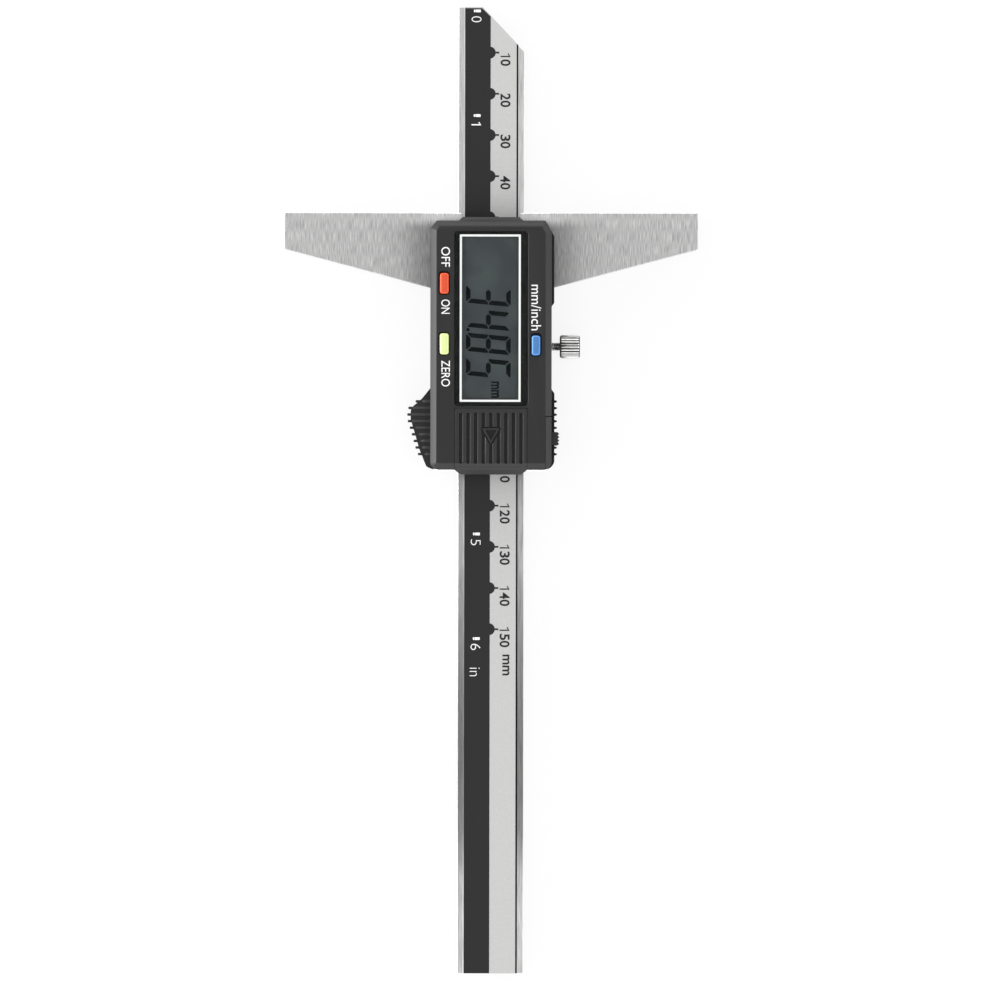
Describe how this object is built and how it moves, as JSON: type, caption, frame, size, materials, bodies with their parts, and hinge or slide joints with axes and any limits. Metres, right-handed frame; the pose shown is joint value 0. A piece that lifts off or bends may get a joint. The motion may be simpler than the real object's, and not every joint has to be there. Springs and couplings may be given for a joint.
{
  "type": "digital depth gauge",
  "caption": "Digital depth gauge: steel blade with a printed scale sliding in a tapered cross base, with a battery display head, push buttons, sliding covers and a knurled lock screw.",
  "frame": {"origin": "bottom centre of the whole gauge as it lies on its back", "axes": "+X to the right of the display, towards the lock screw; +Y along the blade, towards its slanted tip; +Z out of the display"},
  "size_m": [0.1004, 0.2346, 0.0145],
  "materials": {
    "ground_steel": "ground and brushed stainless steel",
    "screw_steel": "turned steel",
    "nickel": "nickel plated, satin",
    "bronze": "rolled spring bronze",
    "black_plastic": "moulded, fine satin grain",
    "cover_plastic": "moulded, fine satin grain",
    "label_film": "printed satin film",
    "circuit_board": "solder mask",
    "lens": "clear, polished, with a printed frame",
    "display_glass": "grey display glass with dark segments",
    "rubber": "layered silicone rubber",
    "epoxy": "black epoxy",
    "contact_gold": "gold plated",
    "orange_button": "moulded, satin",
    "yellow_button": "moulded, satin",
    "blue_button": "moulded, satin"
  },
  "bodies": {
    "head": {"base_frame": "ground_steel", "back_plate": "ground_steel", "back_plate_screw_1": "screw_steel", "back_plate_screw_2": "screw_steel", "back_plate_screw_3": "screw_steel", "back_plate_screw_4": "screw_steel", "gib_strip": "bronze", "gib_screw_1": "screw_steel", "gib_screw_2": "screw_steel", "front_housing": "black_plastic", "housing_screw_1": "screw_steel", "housing_screw_2": "screw_steel", "housing_screw_3": "screw_steel", "housing_screw_4": "screw_steel", "display_lens": "lens", "lcd_panel": "display_glass", "lcd_holder": "cover_plastic", "zebra_strip_left": "rubber", "zebra_strip_right": "rubber", "main_board": "circuit_board", "reader_plate": "circuit_board", "chip_blob": "epoxy", "switch_dome_1": "nickel", "switch_dome_2": "nickel", "switch_dome_3": "nickel", "data_contact_1": "contact_gold", "data_contact_2": "contact_gold", "data_contact_3": "contact_gold", "data_contact_4": "contact_gold", "board_screw_1": "screw_steel", "board_screw_2": "screw_steel", "battery_cell": "nickel", "battery_contact_minus": "nickel", "battery_contact_plus": "nickel"},
    "blade": {"beam": "ground_steel", "scale_board": "circuit_board", "scale_label": "label_film"},
    "lock_screw": {"lock_screw": "nickel"},
    "on_off_button": {"on_off_button": "orange_button"},
    "zero_button": {"zero_button": "yellow_button"},
    "unit_button": {"unit_button": "blue_button"},
    "battery_cover": {"battery_cover": "cover_plastic"},
    "data_port_cover": {"data_port_cover": "cover_plastic"}
  },
  "joints": [
    {"name": "blade_slide", "type": "slide", "parent": "head", "child": "blade", "axis": [0, 1, 0], "range_m": [-0.05, 0.1]},
    {"name": "lock_screw_turn", "type": "hinge", "parent": "head", "child": "lock_screw", "pos_m": [0.019, 0.0349, 0.00315], "axis": [1, 0, 0], "range_deg": [-90, 360]},
    {"name": "on_off_press", "type": "slide", "parent": "head", "child": "on_off_button", "axis": [0, 0, -1], "range_m": [0, 0.0003], "stiffness_N_per_m": 1000},
    {"name": "zero_press", "type": "slide", "parent": "head", "child": "zero_button", "axis": [0, 0, -1], "range_m": [0, 0.0003], "stiffness_N_per_m": 1000},
    {"name": "unit_press", "type": "slide", "parent": "head", "child": "unit_button", "axis": [0, 0, -1], "range_m": [0, 0.0003], "stiffness_N_per_m": 1000},
    {"name": "battery_cover_slide", "type": "slide", "parent": "head", "child": "battery_cover", "axis": [0, -1, 0], "range_m": [0, 0.016]},
    {"name": "data_port_cover_slide", "type": "slide", "parent": "head", "child": "data_port_cover", "axis": [0, -1, 0], "range_m": [0, 0.0135]}
  ]
}
